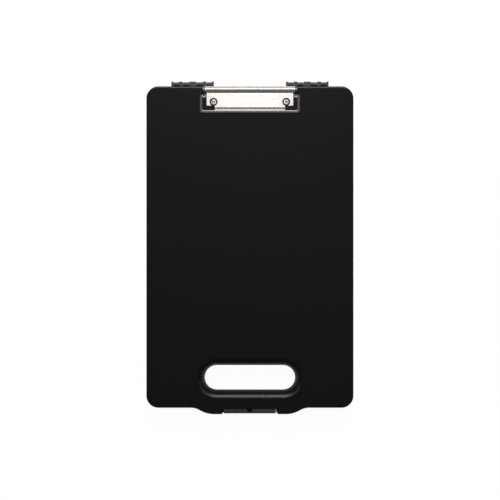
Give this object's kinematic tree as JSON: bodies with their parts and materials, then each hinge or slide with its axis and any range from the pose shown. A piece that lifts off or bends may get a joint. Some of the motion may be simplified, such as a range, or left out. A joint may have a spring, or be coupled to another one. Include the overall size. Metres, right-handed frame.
{
  "type": "storage clipboard box",
  "caption": "Shallow hinged A4 storage case whose lid is a clipboard: sprung metal clip at the top, hand slot and latch flap at the bottom.",
  "frame": {"origin": "middle of the footprint at the height of the surface the closed case lies on", "axes": "+X to the right, +Y up the board towards the hinges, +Z out of the writing face"},
  "size_m": [0.24, 0.3858, 0.038],
  "materials": {
    "black_plastic": "injection-moulded black polypropylene, fine satin texture",
    "latch_plastic": "injection-moulded black polypropylene, a little lighter than the case",
    "nickel": "nickel-plated pressed sheet steel, bright",
    "steel": "zinc-plated steel wire and washers",
    "spring_steel": "oiled spring wire",
    "rubber": "black moulded rubber, matt"
  },
  "bodies": {
    "base": {"base_tray": "black_plastic", "hinge_pin_left": "steel", "hinge_pin_right": "steel", "latch_pin": "steel"},
    "lid": {"lid_board": "black_plastic", "clip_base_plate": "nickel", "clip_hinge_rod": "steel", "clip_spring_left": "spring_steel", "clip_spring_right": "spring_steel", "clip_rivet_left": "nickel", "clip_rivet_right": "nickel", "clip_washer_left": "steel", "clip_washer_right": "steel"},
    "clamp": {"clip_clamp_plate": "nickel", "clip_corner_pad_left": "rubber", "clip_corner_pad_right": "rubber"},
    "latch": {"latch_flap": "latch_plastic"}
  },
  "joints": [
    {"name": "lid_hinge", "type": "hinge", "parent": "base", "child": "lid", "pos_m": [0, 0.1901, 0.0195], "axis": [-1, 0, 0], "range_deg": [0, 180]},
    {"name": "latch_hinge", "type": "hinge", "parent": "base", "child": "latch", "pos_m": [0, -0.1895, 0.0045], "axis": [1, 0, 0], "range_deg": [0, 90]},
    {"name": "jaw_hinge", "type": "hinge", "parent": "lid", "child": "clamp", "pos_m": [0, 0.1826, 0.0342], "axis": [-1, 0, 0], "range_deg": [0, 40], "stiffness_Nm_per_rad": 0.12, "springref_deg": -28.65, "deforming": ["clip_spring_left", "clip_spring_right"]}
  ]
}
